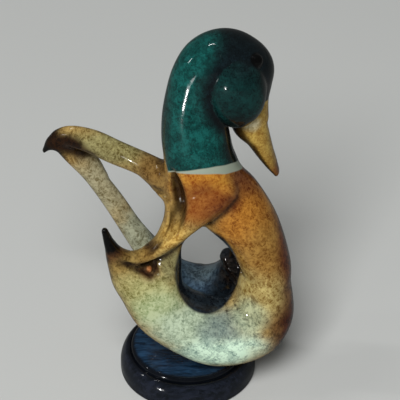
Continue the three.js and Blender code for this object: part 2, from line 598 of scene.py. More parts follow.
def store_values(mesh: bpy.types.Mesh, name: str, values: Array) -> None:
    """Writes one number per vertex to the mesh."""
    layer = mesh.attributes.new(name, "FLOAT", "POINT")
    layer.data.foreach_set("value", values.astype(np.float32))


class NodeDesk:
    """Small helper that lays out shader nodes and links."""

    def __init__(self, tree: bpy.types.NodeTree) -> None:
        """Works on one node tree."""
        self.tree = tree

    @classmethod
    def of_new(cls, name: str) -> "NodeDesk":
        """Starts on a new material that has only its shader and output.

        Args:
            name: what the material is called.

        Returns:
            A desk on its nodes.
        """
        material = bpy.data.materials.new(name)
        material.use_nodes = True
        return cls(material.node_tree)

    def add(self, kind: str, settings: dict | None = None, **inputs: object) -> bpy.types.Node:
        """Adds a node, applies its settings and fills its inputs.

        Args:
            kind: the node's type name, without the ShaderNode prefix.
            settings: properties of the node.
            inputs: sockets by name, with spaces as underscores, or by number as i0, i1.

        Returns:
            The new node.
        """
        node = self.tree.nodes.new("ShaderNode" + kind)
        for name, value in (settings or {}).items():
            setattr(node, name, value)
        self.fill(node, **inputs)
        return node

    def fill(self, node: bpy.types.Node, **inputs: object) -> None:
        """Links or sets a node's inputs.

        Args:
            node: the node.
            inputs: sockets or values, named as in add.
        """
        for name, value in inputs.items():
            key = int(name[1:]) if name[1:].isdigit() else name.replace("_", " ")
            if isinstance(value, Socket):
                self.tree.links.new(value, node.inputs[key])
            else:
                node.inputs[key].default_value = value

    def carried(self, name: str, output: str = "Fac") -> Socket:
        """A value that the mesh carries."""
        return self.add("Attribute", {"attribute_name": name}).outputs[output]

    def inside(self, edge: Edge, softness: float) -> Socket:
        """1 inside a painted edge, 0 outside, over a softness in mm."""
        return self.spread(self.carried(edge.value), -softness, softness)

    def maths(self, way: str, *values: object) -> Socket:
        """A Math node's result."""
        inputs = {f"i{n}": value for n, value in enumerate(values)}
        return self.add("Math", {"operation": way}, **inputs).outputs[0]

    def spread(self, value: object, low: object, high: object, fall: bool = False) -> Socket:
        """Adds a clamped Map Range node.

        Args:
            value: what is mapped.
            low: where the step begins.
            high: where it ends.
            fall: whether it goes from 1 to 0, not from 0 to 1.

        Returns:
            Its result.
        """
        node = self.add("MapRange", {"clamp": True}, Value=value, From_Min=low, From_Max=high,
                        To_Min=float(fall), To_Max=float(not fall))
        return node.outputs["Result"]

    def noise(self, place: Socket, size: object, detail: float, roughness: float,
              distortion: float = 0.0) -> Socket:
        """Adds a fractal Noise node.

        Args:
            place: where it is looked up, in metres.
            size: its scale, per metre.
            detail: how many octaves.
            roughness: how strong the finer ones are.
            distortion: how much it is stirred.

        Returns:
            Its value.
        """
        node = self.add("TexNoise", {"noise_type": "FBM"}, Vector=place, Scale=size, Detail=detail,
                        Roughness=roughness, Distortion=distortion)
        return node.outputs["Fac"]

    def mix(self, share: object, first: object, second: object) -> Socket:
        """A colour Mix node's result."""
        node = self.add("Mix", {"data_type": "RGBA"}, i0=share, i6=first, i7=second)
        return node.outputs[2]


class ShaderGroup:
    """A node group that is built on first use and shared by the glazes."""

    NAME = ""
    INPUTS: dict[str, tuple[str, ...]] = {}
    OUTPUT = ("", "")

    @classmethod
    def tree(cls) -> bpy.types.NodeTree:
        """Builds the group, once.

        Returns:
            Its node tree.
        """
        found = bpy.data.node_groups.get(cls.NAME)
        if found:
            return found
        tree = bpy.data.node_groups.new(cls.NAME, "ShaderNodeTree")
        for kind, names in cls.INPUTS.items():
            for name in names:
                tree.interface.new_socket(name, in_out="INPUT", socket_type=kind)
        name, kind = cls.OUTPUT
        tree.interface.new_socket(name, in_out="OUTPUT", socket_type=kind)
        given = tree.nodes.new("NodeGroupInput").outputs
        result = tree.nodes.new("NodeGroupOutput")
        tree.links.new(cls.result(NodeDesk(tree), given), result.inputs[name])
        return tree

    @classmethod
    def result(cls, desk: NodeDesk, given: bpy.types.NodeOutputs) -> Socket:
        """Lays out the nodes.

        Args:
            desk: works on the group's tree.
            given: the group's inputs.

        Returns:
            The socket that the group gives out.
        """
        raise NotImplementedError


class LaceGroup(ShaderGroup):
    """Node group: sponged lace of one colour over another, as fine veins and flecks.

    Sizes are per metre; clouds have a size and a weight; Veins is how strong the strokes are.
    """

    NAME = "SpongedLace"
    INPUTS = {"NodeSocketColor": ("Ground", "Lace"), "NodeSocketVector": ("Place",),
              "NodeSocketFloat": ("Share", "Vein Size", "Fleck Size", "Veins", "Softness")}
    OUTPUT = ("Color", "NodeSocketColor")
    CLOUDS = ((110.0, 2.0), (330.0, 2.2))
    FLECK_WEIGHT = 2.2
    STROKE_TURNS = (0.5, -0.7)
    STROKE_SHORTENING = 0.3
    STROKE_EDGE = (0.012, 0.05)

    @classmethod
    def _strokes(cls, desk: NodeDesk, given: bpy.types.NodeOutputs, turn: float) -> Socket:
        """Draws thin curved brush strokes.

        Args:
            desk: works on the group's tree.
            given: the group's inputs.
            turn: how they lean in the side view, in radians.

        Returns:
            A mask.
        """
        drawn = desk.add("Mapping", None, Vector=given["Place"], Rotation=(0.0, turn, 0.0))
        drawn = desk.add("Mapping", None, Vector=drawn.outputs[0],
                         Scale=(1.0, 1.0, cls.STROKE_SHORTENING))
        threads = desk.noise(drawn.outputs[0], given["Vein Size"], 1.0, 0.5, 0.8)
        away = desk.maths("ABSOLUTE", desk.maths("SUBTRACT", threads, 0.5))
        return desk.spread(away, *cls.STROKE_EDGE, fall=True)

    @classmethod
    def result(cls, desk: NodeDesk, given: bpy.types.NodeOutputs) -> Socket:
        """Lays lace over the ground where the noises and the share add up to enough."""
        veins = [cls._strokes(desk, given, turn) for turn in cls.STROKE_TURNS]
        over = given["Share"]
        for size, weight in (*cls.CLOUDS, (given["Fleck Size"], cls.FLECK_WEIGHT)):
            away = desk.maths("SUBTRACT", desk.noise(given["Place"], size, 2.0, 0.6, 0.6), 0.5)
            over = desk.maths("MULTIPLY_ADD", away, weight, over)
        low = desk.maths("SUBTRACT", 0.5, given["Softness"])
        high = desk.maths("ADD", 0.5, given["Softness"])
        strokes = desk.maths("MULTIPLY", desk.maths("MAXIMUM", *veins), given["Veins"])
        mask = desk.maths("MAXIMUM", desk.spread(over, low, high), strokes)
        return desk.mix(mask, given["Ground"], given["Lace"])


class WaverGroup(ShaderGroup):
    """Node group: waves and orange peel of a thick glaze, as a height in metres."""

    NAME = "GlazeWaver"
    INPUTS = {"NodeSocketVector": ("Place",), "NodeSocketFloat": ("Wave", "Peel")}
    OUTPUT = ("Height", "NodeSocketFloat")
    WAVE_SIZE = 55.0
    PEEL_SIZE = 420.0

    @classmethod
    def result(cls, desk: NodeDesk, given: bpy.types.NodeOutputs) -> Socket:
        """Adds the two noises."""
        swell = desk.noise(given["Place"], cls.WAVE_SIZE, 1.0, 0.4)
        peel = desk.noise(given["Place"], cls.PEEL_SIZE, 2.0, 0.5)
        large = desk.maths("MULTIPLY", swell, given["Wave"])
        small = desk.maths("MULTIPLY", peel, given["Peel"])
        return desk.maths("ADD", large, small)


@dataclass(frozen=True)
class SpongedCoat:
    """How finely one sprayed coat is sponged."""

    coat: Coat
    vein_size: float
    fleck_size: float
    veins: float
    softness: float

    def colour(self, desk: NodeDesk, place: Socket) -> Socket:
        """Sponges the coat from what the mesh carries.

        Args:
            desk: works on the material.
            place: where the noises are looked up, in metres.

        Returns:
            Its colour.
        """
        name = self.coat.value
        sponge = desk.add("Group", {"node_tree": LaceGroup.tree()},
                          Ground=desk.carried(name + "_ground", "Color"),
                          Lace=desk.carried(name + "_lace", "Color"),
                          Share=desk.carried(name + "_share"), Place=place,
                          Vein_Size=self.vein_size, Fleck_Size=self.fleck_size,
                          Veins=self.veins, Softness=self.softness)
        return sponge.outputs["Color"]


@dataclass(frozen=True)
class Glaze:
    """A thick glossy glaze over one sponged coat."""

    name: str
    coat: SpongedCoat
    stretch: Row = (1.0, 1.0, 1.0)
    roughness: float = 0.35
    sheen: float = 0.03
    coat_roughness: float = 0.06
    wave: float = 0.00035
    peel: float = 0.00001

    def colour(self, desk: NodeDesk, place: Socket) -> Socket:
        """The colour under the glaze."""
        drawn = desk.add("Mapping", None, Vector=place, Scale=self.stretch).outputs[0]
        return self.coat.colour(desk, drawn)

    def material(self) -> bpy.types.Material:
        """Builds the finish.

        Returns:
            The material.
        """
        desk = NodeDesk.of_new(self.name)
        place = desk.add("TexCoord").outputs["Object"]
        waver = desk.add("Group", {"node_tree": WaverGroup.tree()}, Place=place, Wave=self.wave,
                         Peel=self.peel)
        bump = desk.add("Bump", None, Height=waver.outputs["Height"], Strength=1.0, Distance=1.0)
        desk.fill(desk.tree.nodes[SHADER], Base_Color=self.colour(desk, place),
                  Roughness=self.roughness, Specular_IOR_Level=self.sheen, IOR=1.45,
                  Coat_Weight=1.0, Coat_Roughness=self.coat_roughness, Coat_IOR=1.4,
                  Normal=bump.outputs["Normal"], Coat_Normal=bump.outputs["Normal"])
        return bpy.data.materials[self.name]


@dataclass(frozen=True)
class DuckGlaze(Glaze):
    """The body's coat with a crisp collar, head, bill and eyes laid over it."""

    head: SpongedCoat = SpongedCoat(Coat.HEAD, 560.0, 1200.0, 0.4, 0.5)
    bill: SpongedCoat = SpongedCoat(Coat.BILL, 360.0, 900.0, 0.25, 0.6)
    inner: SpongedCoat = SpongedCoat(Coat.INNER, 300.0, 800.0, 0.4, 0.3)
    collar: str = "9AA393"
    eye: str = "020202"
    crisp: float = 0.35
    soft: float = 0.6

    def colour(self, desk: NodeDesk, place: Socket) -> Socket:
        """Lays the coats over each other."""
        shown = super().colour(desk, place)
        for edge, softness, over in (
                (Edge.INNER, self.soft, self.inner.colour(desk, place)),
                (Edge.COLLAR_FOOT, self.crisp, (*linear(self.collar), 1.0)),
                (Edge.COLLAR_TOP, self.crisp, self.head.colour(desk, place)),
                (Edge.BILL, self.crisp, self.bill.colour(desk, place)),
                (Edge.EYE, self.crisp, (*linear(self.eye), 1.0))):
            shown = desk.mix(desk.inside(edge, softness), shown, over)
        return shown


DUCK_GLAZE = DuckGlaze("duck_sponged_glaze", SpongedCoat(Coat.BODY, 300.0, 800.0, 0.6, 0.4))
PLINTH_GLAZE = Glaze("plinth_streaked_glaze", SpongedCoat(Coat.PLINTH, 120.0, 300.0, 0.35, 0.4),
                     stretch=(0.4, 1.6, 1.0), roughness=0.25)


def put(name: str, data: bpy.types.ID) -> bpy.types.Object:
    """Adds an object to the scene.

    Args:
        name: its name.
        data: the mesh, light or camera that it shows.

    Returns:
        The object.
    """
    thing = bpy.data.objects.new(name, data)
    bpy.context.scene.collection.objects.link(thing)
    return thing


def make_piece(name: str, vertices: Array, faces: list, finish: Glaze, node: CadNode,
               slot: Slot) -> bpy.types.Object:
    """Makes a smooth-shaded piece.

    Args:
        name: the piece's name.
        vertices: points in mm.
        faces: corner numbers of each face.
        finish: its glaze.
        node: the CAD node that it replaces.
        slot: its material slot; not used.

    Returns:
        The piece, in the scene.
    """
    mesh = bpy.data.meshes.new(name)
    mesh.from_pydata((vertices * MM).tolist(), [], faces)
    mesh.update()
    mesh.shade_smooth()
    mesh.materials.append(finish.material())
    piece = put(name, mesh)
    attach(piece, Body.ROOT.value)
    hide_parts(node.value)
    log.info("%s: %d vertices, %d faces", name, len(mesh.vertices), len(mesh.polygons))
    return piece


@dataclass(frozen=True)
class Collar:
    """Where the pale collar runs: its upper edge is a bent plane, its width grows forward."""

    level: float = 141.2
    rise_forward: float = 0.155
    rise_near: float = 0.585
    rise_far: float = 0.1
    width: float = 1.9
    widening: float = 0.19
    least: float = 0.7
    most: float = 5.8
    tail_place: float = -13.4
    tail_lean: float = 0.194
    tail_level: float = 153.7

    def edges(self, points: Array, drift: Array) -> dict[Edge, Array]:
        """Measures how far points are above the collar's edges, clear of the tail bar.

        Args:
            points: places in mm.
            drift: how the brush wandered, in mm.

        Returns:
            Distances in mm.
        """
        x, y, z = points.T
        height = z - (self.level + self.rise_forward * x
                      - self.rise_near * np.minimum(y, 0) - self.rise_far * np.maximum(y, 0))
        width = np.clip(self.width + self.widening * x, self.least, self.most)
        seen_height = z + VIEW_SLANT * np.minimum(y, 10 - y)
        off_tail = x - self.tail_place - self.tail_lean * (self.tail_level - seen_height)
        return {Edge.COLLAR_TOP: np.minimum(height + drift, off_tail),
                Edge.COLLAR_FOOT: np.minimum(height + width + drift, off_tail)}


@dataclass(frozen=True)
class Lining:
    """The dark coat sprayed at a slant through the ring's opening, which leaves an oval edge."""

    centre: Row = (12.0, 0.0, 84.0)
    reach: float = 42.0
    spray_centre: Row = (10.5, 68.5)
    spray_reach: Row = (17.2, 28.8)
    seen_facing: float = 0.1
    deep_facing: float = 0.55
    facing_scale: float = 8.0
    deep_from: float = -6.0
    back: float = -15.0

    def edge(self, points: Array, normals: Array) -> Array:
        """Measures how far points are inside the lining.

        Args:
            points: the vertices in mm.
            normals: their outward directions.

        Returns:
            Distances in mm.
        """
        x, y, z = points.T
        way = np.array(self.centre) - points
        way[:, 1] = 0.0
        reach = np.linalg.norm(way, axis=1)
        facing = (normals * way).sum(1) / np.maximum(reach, 1.0)
        sprayed = np.hypot((x - self.spray_centre[0]) / self.spray_reach[0],
                           (z + VIEW_SLANT * y - self.spray_centre[1]) / self.spray_reach[1])
        seen = np.minimum((1 - sprayed) * self.spray_reach[0],
                          (facing - self.seen_facing) * self.facing_scale)
        deep = np.minimum((facing - self.deep_facing) * self.facing_scale, y - self.deep_from)
        inner = np.minimum(np.maximum(seen, deep), self.reach - reach)
        return np.minimum(inner, x - self.back)


@dataclass
class Duck:
    """The curled body with its head, bill, two wings and two tail tips, cast in one piece."""

    neck: Limb = Limb((
        (6, -1, 109, 7, 6.5), (6.5, -0.5, 117, 15.5, 14.5), (7, 0, 126.5, 20, 18.5),
        (8, 0, 136.5, 21, 19), (6, 0, 150.5, 19, 18.5), (4.5, 2, 161.5, 18.5, 17.5),
        (4, 4.5, 173, 17.5, 16.5), (5, 7, 183.5, 16.5, 16), (8, 9, 192.5, 17, 16),
        (13, 10.5, 199.5, 18, 16.5), (19.5, 11.5, 202.5, 18, 16.5), (26, 12, 201, 17, 16),
        (32, 13, 196, 15, 14.5), (34.5, 13.5, 187, 11.5, 12), (36, 13.5, 177.5, 8, 10),
        (36.5, 13.5, 168, 7, 8),
    ))
    bill: Limb = Limb((
        (32.5, 11, 172, 10, 10), (34, 11, 162.5, 10, 9.5), (38, 11.5, 154, 7, 9),
        (42, 13, 143.5, 5, 8), (45.5, 14.5, 135, 3.5, 7), (48.5, 15.5, 128, 2, 5),
    ))
    ring: Limb = Limb((
        (7.5, 0, 132.5, 19, 17.5), (14, -1, 127.5, 19, 18), (23, -2, 119, 19, 19),
        (35, -4, 102.5, 16, 19.5), (43, -6, 80.5, 14, 19), (43, -7.5, 69, 14.5, 19),
        (42.5, -9, 58.5, 16.5, 19), (41, -11, 48, 18, 18.5), (33.5, -13.5, 41, 20.5, 18.5),
        (18, -16, 38.5, 20, 19), (4, -18, 45, 19, 18.5), (-13, -19, 57, 17, 17),
        (-22.5, -20.5, 73.5, 15.5, 15), (-31.5, -22, 86, 12, 12), (-38.5, -23, 96.5, 6, 8),
        (-42.5, -24.5, 107, 2.5, 5), (-45, -25, 116.5, 1, 2),
    ), fold_fillet=5.0)
    flank: Limb = Limb((
        (-5, -17, 56.5, 9, 14), (-10, -18, 70, 8.5, 13.5), (-12, -18.5, 82.5, 9, 12.5),
        (-12, -18.5, 92.5, 9, 10.5), (-8.5, -18.5, 103, 6, 7), (-3, -19, 111, 3.5, 5),
        (0.5, -19, 117.5, 2, 3),
    ))
    wing: Limb = Limb((
        (20.5, -11.5, 135, 6.5, 8.5), (15, -13.5, 131.5, 8, 10.5), (9.5, -14.5, 127.5, 9, 10.5),
        (5, -16.5, 123, 8.5, 9.5), (0.5, -19, 119, 7, 8), (-7, -22, 112, 5.5, 7),
        (-14.5, -24, 105, 4, 6), (-22.5, -25, 101, 3, 5.5), (-30.5, -25.5, 99.5, 2, 4.5),
        (-37.5, -25.5, 102.5, 2.5, 4), (-41.5, -25, 108.5, 2, 3), (-44, -25, 116.5, 1, 1.5),
    ))
    rim: Limb = Limb((
        (-15.5, 6, 125, 2.5, 5.5), (-12.5, 1, 123.5, 2, 6.5), (-10.5, -6, 121.5, 2, 7),
        (-10.5, -13.5, 118, 2, 6.5), (-12, -19, 114, 2, 6), (-15, -23, 109, 2, 5),
        (-20.5, -25, 102.5, 2, 4.5), (-28.5, -26, 96, 2, 4),
    ))
    tail_bar: Limb = Limb((
        (-3, 2, 130.5, 7.5, 11), (-14, 5, 132, 8, 9), (-24.5, 10, 136, 7, 6),
        (-39.5, 16, 139.5, 7.5, 5), (-53, 20, 144, 7.5, 4.5), (-65.5, 23, 145, 6.5, 4),
        (-74, 25.5, 140, 3.5, 3.5), (-79, 26.5, 133.5, 1, 2.5),
    ))
    far_limb: Limb = Limb((
        (-72, 25.5, 138, 2.5, 3.5), (-63.5, 26, 130, 5, 4), (-53, 26, 117.5, 5.5, 4.5),
        (-42, 26, 99.5, 6, 5), (-31.5, 26, 79.5, 6.5, 5.5), (-20.5, 25.5, 61.5, 8.5, 8),
        (-8.5, 24, 44, 13.5, 12.5), (7, 22, 37, 16, 15.5), (21, 17, 47, 13, 13),
        (31, 11, 64, 11, 11.5), (38.5, 3, 84, 9.5, 9), (37.5, -3, 99, 6, 6),
    ))
    web: Limb = Limb((
        (-70, 26.5, 143, 2.5, 2.5), (-64.5, 27, 137.5, 3.5, 3.5), (-58.5, 27.5, 130.5, 4.5, 3),
        (-52.5, 27.5, 123.5, 4.5, 3), (-48, 27.5, 116, 2.5, 2.5),
    ))
    valley: Limb = Limb((
        (-2, -2, 131, 7, 8), (-3.5, -8, 124.5, 6, 7), (-5.5, -12.5, 118, 5.5, 6),
        (-9, -16.5, 112, 4.5, 5), (-14, -20, 106.5, 3.5, 4), (-20, -22.5, 102.5, 2.5, 3.5),
    ))
    channel: Limb = Limb((
        (-7.8, -13, 147, 1, 2.5), (-6.8, -14.5, 142.5, 2.4, 5.5), (-5.6, -16, 137, 3.2, 7),
        (-4.6, -18, 131, 3.4, 7.5), (-4.6, -20, 125.5, 3.2, 7), (-5.8, -22.5, 120.5, 2.6, 6),
        (-8, -25, 116.5, 1.8, 4.5), (-11, -27, 113.5, 1, 3),
    ))
    fold: Limb = Limb((
        (22.5, 6, 75, 4.5, 5.5), (25, 5, 72, 6.5, 6.5), (28, 3.5, 68, 6.5, 6.5),
        (30, 1.5, 63, 5, 5.5),
    ))
    cheeks: Clay = Clay([Step(Oval((x, y, 190), (15.8, 14, 22)), 6.0)
                         for x, y in ((26.5, 1.5), (22.5, 11.5))])
    eyes: tuple[Oval, ...] = (Oval((36.5, 2.8, 208.6), (3.7, 3.7, 3.7)),
                              Oval((27.6, 25.1, 208.6), (3.7, 3.7, 3.7)))
    knot: ThreeSidedPoint = ThreeSidedPoint((-20.8, -27.6, 90.8), (0.2, -0.75, 0.6), 5.2, 2.6, -0.3)
    bud: Oval = Oval((-21, -26.4, 91.6), (2.1, 1.9, 2.8))
    collar: Collar = Collar()
    lining: Lining = Lining()
    bill_top: float = 197.0
    bill_back: float = 26.0
    low: Row = (-86.0, -44.0, 12.0)
    high: Row = (66.0, 46.0, 228.0)
    cell: float = 1.0
    rough_cell: float = 2.0
    seat_gap: float = 0.05

    def clay(self) -> Clay:
        """Joins and cuts the forms in their order.

        Returns:
            The body.
        """
        limbs = ((self.neck, 1.0), (self.ring, 4.0), (self.flank, 4.0), (self.tail_bar, 5.0),
                 (self.rim, 2.5), (self.wing, 2.6), (self.far_limb, 5.0), (self.web, 4.0),
                 (self.valley, 2.5), (self.fold, 1.5))
        hollows = ((self.channel, 3.5), (self.knot, 1.2))
        details = ((self.bud, 0.8), (self.cheeks, 1.2), (self.bill, 2.5),
                   *((eye, 0.3) for eye in self.eyes))
        order = ((limbs, Join.ADD), (hollows, Join.CUT), (details, Join.ADD))
        steps = [Step(*row, join) for rows, join in order for row in rows]
        return Clay(steps, PLINTH_TOP + self.seat_gap)

    def edges(self, points: Array, normals: Array) -> dict[Edge, Array]:
        """Measures how far points are inside the crisp painted edges.

        Args:
            points: the vertices in mm.
            normals: their outward directions.

        Returns:
            Distances in mm for each edge.
        """
        drift = 0.3 * Drift(21, 7.0).at(points)
        x, _, z = points.T
        bare = np.minimum(self.cheeks.distance(points) - 0.4, self.bill_top - z)
        to_bill = self.bill.distance(points)
        beak = np.minimum(self.neck.distance(points) - to_bill, -to_bill) + 3.0
        bill = np.minimum(np.minimum(bare, x - self.bill_back), beak)
        eye = np.minimum(self.eyes[0].distance(points), self.eyes[1].distance(points))
        return self.collar.edges(points, drift) | {
            Edge.BILL: bill + drift, Edge.EYE: 0.5 - eye,
            Edge.INNER: self.lining.edge(points, normals)}

    def paint(self, clay: Clay, points: Array, normals: Array) -> dict[Coat, Paint]:
        """Sprays the coats.

        Args:
            clay: the finished form, which says where creases are.
            points: the vertices in mm.
            normals: their outward directions.

        Returns:
            The colours of each coat.
        """
        waver = sum(share * Drift(seed, cell).at(points)
                    for share, seed, cell in ((1.0, 7, 9.0), (0.6, 8, 4.0), (0.4, 9, 2.0)))
        coats = {coat: Paint(len(points), *colours) for coat, colours in BASE_COLOURS.items()}
        for coat, paint in coats.items():
            for ground, lace, share, *patch in SPRAYS[coat]:
                paint.lay(Patch(*patch).cover(points, waver), ground, lace, share)
        body, head, bill = coats[Coat.BODY], coats[Coat.HEAD], coats[Coat.BILL]
        off_cheek = self.cheeks.distance(points)
        # painted shade in the crease between cheek and neck
        crease = 1 - ramp(off_cheek, 1.0, 8.0)
        head.lay(crease * (off_cheek > 0.3), *CHEEK_CREASE_SHADE)
        # painted shade on the bill's downward-facing side
        under = ramp(-0.9 * normals[:, 0] - 0.45 * normals[:, 2], 0.08, 0.4)
        bill.lay(under * 0.9, *BILL_UNDERSIDE_SHADE)
        channel = self.channel.distance(points)
        self._darken_hollows(body, points, channel)
        self._brush_knot(body, points, clay.distance(points + normals) > 0)
        # darker in creases: glaze gathered there, and painted shade
        pooled_and_shade = self._pooled_glaze_and_shade(clay, points, normals)
        off_channel = 0.3 + 0.7 * ease(channel / 8)
        for coat, (strength, tint) in POOLED_GLAZE_AND_SHADE.items():
            coats[coat].shade(pooled_and_shade * strength * (off_channel if coat is Coat.BODY else 1), tint)
        return coats

    def _pooled_glaze_and_shade(self, clay: Clay, points: Array, normals: Array) -> Array:
        """Finds creases, where clay stands close in front: glaze gathers there and shade is painted
        in.

        Args:
            clay: the finished form.
            points: the vertices in mm.
            normals: their outward directions.

        Returns:
            A share from 0 to 1 per point.
        """
        near, wide = 2.2, 5.5
        close = 1 - clay.distance(points + normals * near) / near
        broad = 1 - clay.distance(points + normals * wide) / wide
        return ease(np.clip(0.6 * close + 0.6 * broad, 0, 1) * 1.3)

    def _darken_hollows(self, body: Paint, points: Array, channel: Array) -> None:
        """Lays dark glaze and painted shade into the channel, and painted shade along the wing's
        lower edge.

        Args:
            body: the coat to paint.
            points: the vertices in mm.
            channel: their distances to it.
        """
        x, y, z = points.T
        # dark glaze and painted shade in the channel
        body.lay((1 - ramp(channel, -0.5, 2.6)) * ramp(z, 115, 9), *CHANNEL_GLAZE_AND_SHADE)
        # painted shade along the wing's lower edge
        wing = self.wing.distance(points)
        beside = (1 - ramp(wing, 0.6, 4.2)) * ramp(wing, 0.1, 0.8) * ramp(-y, 12, 6)
        body.lay(0.95 * beside * ease((124 - z + 0.6 * x) / 6), *WING_EDGE_SHADE)

    def _brush_knot(self, body: Paint, points: Array, open_air: Array) -> None:
        """Brushes the knot brown with a dark edge, round the bud.

        Args:
            body: the coat to paint.
            points: the vertices in mm.
            open_air: whether nothing stands in front of them.
        """
        knot = self.knot.distance(points)
        off_bud = ramp(self.bud.distance(points), 0.2, 0.6) * open_air
        off_bud *= np.linalg.norm(points - np.array(self.knot.centre), axis=1) < 11
        body.lay(0.8 * off_bud * (1 - ramp(knot, -0.6, 1.2)), *KNOT_BROWN)
        body.lay(0.8 * off_bud * (1 - ease(np.abs(knot + 0.2) / 0.9)), *KNOT_EDGE)

    def build(self) -> bpy.types.Object:
        """Wraps, polishes and paints the body.

        Returns:
            The piece.
        """
        clay = self.clay()
        cell = self.cell
        skinner = Skinner(self.low, self.high, cell)
        vertices, quads = skinner.skin(clay)
        vertices, normals = skinner.settle(clay, vertices)
        drips = sum(place.cover(vertices, 0.0) for place in DRIPS)
        grain = Drift(31, 2.2).at(vertices) + 0.6 * Drift(32, 1.3).at(vertices)
        vertices = vertices + normals * (DRIP_HEIGHT * drips * grain)[:, None]
        piece = make_piece("duck_body", vertices, quads.tolist(), DUCK_GLAZE, CadNode.DUCK,
                           Slot.DUCK)
        for coat, paint in self.paint(clay, vertices, normals).items():
            paint.store(piece.data, coat)
        for edge, inside in self.edges(vertices, normals).items():
            store_values(piece.data, edge.value, inside)
        return piece


# glaze that ran and set rough inside the opening
DRIPS = (Patch((25, 3, 69), (8, 10, 11)), Patch((14, 10, 53), (14, 8, 4), 0.7))
DRIP_HEIGHT = 0.45

BASE_COLOURS = {
    Coat.BODY: ("7A5E30", "B89A5C", 0.5),
    Coat.HEAD: ("062826", "155651", 0.5),
    Coat.BILL: ("896325", "C5A552", 0.55),
    Coat.INNER: ("12171C", "262F36", 0.35),
}

# ground, lace and its share of what is laid on along the forms: painted shade in the cheek crease,
# under the bill and along the wing's edge, dark glaze with painted shade in the channel, and the
# knot's own browns
CHEEK_CREASE_SHADE = ("070D10", "0F1B20", 0.25)
BILL_UNDERSIDE_SHADE = ("1E140C", "3C2A14", 0.3)
CHANNEL_GLAZE_AND_SHADE = ("100904", "1E1309", 0.3)
WING_EDGE_SHADE = ("1E120A", "3A2614", 0.3)
KNOT_BROWN = ("5A2C16", "93552F", 0.4)
KNOT_EDGE = ("1E0B04", "3E1A0A", 0.3)

# how strongly glaze gathered in creases and painted shade darken each coat, and to what
POOLED_GLAZE_AND_SHADE = {Coat.BODY: (0.85, "140C08"), Coat.HEAD: (0.85, "070B0E"),
                Coat.BILL: (0.6, "1C120A"), Coat.INNER: (0.6, "05070A")}

# soft patches of glaze, among them painted shade, shadow, light and reflection: ground, lace, its
# share, then a Patch's centre, reach, strength, softness
BODY_SPRAYS = (
    # breast and shoulders
    ("7C4412", "B88A38", 0.5, (14, -14, 140), (26, 26, 18)),
    ("934B12", "C8872E", 0.5, (10, -18, 146), (14, 12, 8), 0.8),
    # darker brown below the neck: painted shadow of the neck
    ("4C200C", "744728", 0.45, (34, -8, 136), (12, 22, 16)),
    ("764010", "B47A2F", 0.5, (34, -18, 116), (20, 26, 18)),
    ("6B4315", "A37B3B", 0.5, (44, -20, 92), (18, 26, 24)),
    ("775B27", "BDAA6C", 0.5, (38, -24, 70), (18, 22, 16)),
    # wing
    ("753A13", "935D29", 0.45, (8, -21, 132), (16, 12, 11)),
    ("966F2D", "D6B363", 0.5, (-10, -26, 112), (14, 10, 9)),
    ("634319", "9F7E40", 0.45, (-28, -27, 102), (14, 10, 8)),
    # rolled lip of the opening
    ("674C22", "9D7E44", 0.5, (-11, -8, 120), (6, 14, 10), 0.9),
    # near limb up to its tip
    ("554019", "947B45", 0.45, (-36, -26, 96), (14, 14, 12)),
    ("726E39", "B6B27B", 0.55, (-22, -30, 80), (18, 16, 12)),
    ("748650", "B8C195", 0.6, (-14, -32, 68), (16, 16, 12)),
    ("555132", "89885F", 0.45, (-9, -27, 96), (8, 8, 12), 0.8),
    # belly
    ("788870", "BAC9AD", 0.6, (0, -32, 54), (22, 20, 14)),
    ("809B8E", "D8F2D8", 0.62, (18, -32, 38), (26, 22, 12)),
    ("3D4D55", "738582", 0.5, (18, -27, 52), (15, 12, 8), 0.75),
    ("6D7C65", "B0BD9D", 0.55, (34, -26, 58), (10, 14, 10), 0.7),
    # right corner and right edge: dark red-brown glaze, deepened by painted shade
    ("2F0A01", "582306", 0.45, (54, -12, 46), (11, 22, 20)),
    ("3F0900", "6A2002", 0.4, (56, -6, 90), (8, 16, 34), 0.85),
    # tail bar and far limb
    ("594E28", "968E5F", 0.5, (-40, 14, 144), (28, 14, 10)),
    ("462D0F", "785A2E", 0.45, (-16, 4, 138), (12, 14, 10), 0.85),
    ("6D6242", "ADA584", 0.5, (-46, 24, 112), (18, 12, 22)),
    ("6A6951", "A6A88F", 0.5, (-26, 24, 80), (14, 12, 18)),
    ("37454A", "636E70", 0.4, (-14, 26, 74), (7, 14, 16), 0.8),
    # black tips
    ("2A140C", "4D2A16", 0.35, (-42, -25, 104), (9, 9, 7), 0.9, 0.5),
    ("040404", "0A0807", 0.15, (-44, -25, 118), (14, 14, 15), 1.0, 0.15),
    ("060505", "120F0B", 0.2, (-83, 26, 138), (16.5, 15, 22), 1.0, 0.25),
    # valley in the tail: painted shade
    ("180B03", "311A06", 0.3, (-67, 20, 142), (11, 12, 7), 1.0, 0.4),
    ("1C0C03", "381F08", 0.3, (-57, 20, 136), (9, 12, 5.5), 0.9, 0.5),
    # lump
    ("080605", "30251C", 0.32, (24, 3, 70), (8, 10, 11), 1.0, 0.3),
    # painted shade under the wing's shoulder
    ("53240E", "7D4721", 0.4, (20, -20, 131), (10, 9, 6.5), 0.85, 0.4),
    # knot
    ("3E1A0C", "6E3A1C", 0.4, (-20.8, -27.6, 90.8), (6, 6, 6), 0.6, 0.5),
    ("8B4A21", "B57B4A", 0.5, (-21, -28.4, 91.8), (2.4, 3.4, 2.8), 0.95, 0.25),
)

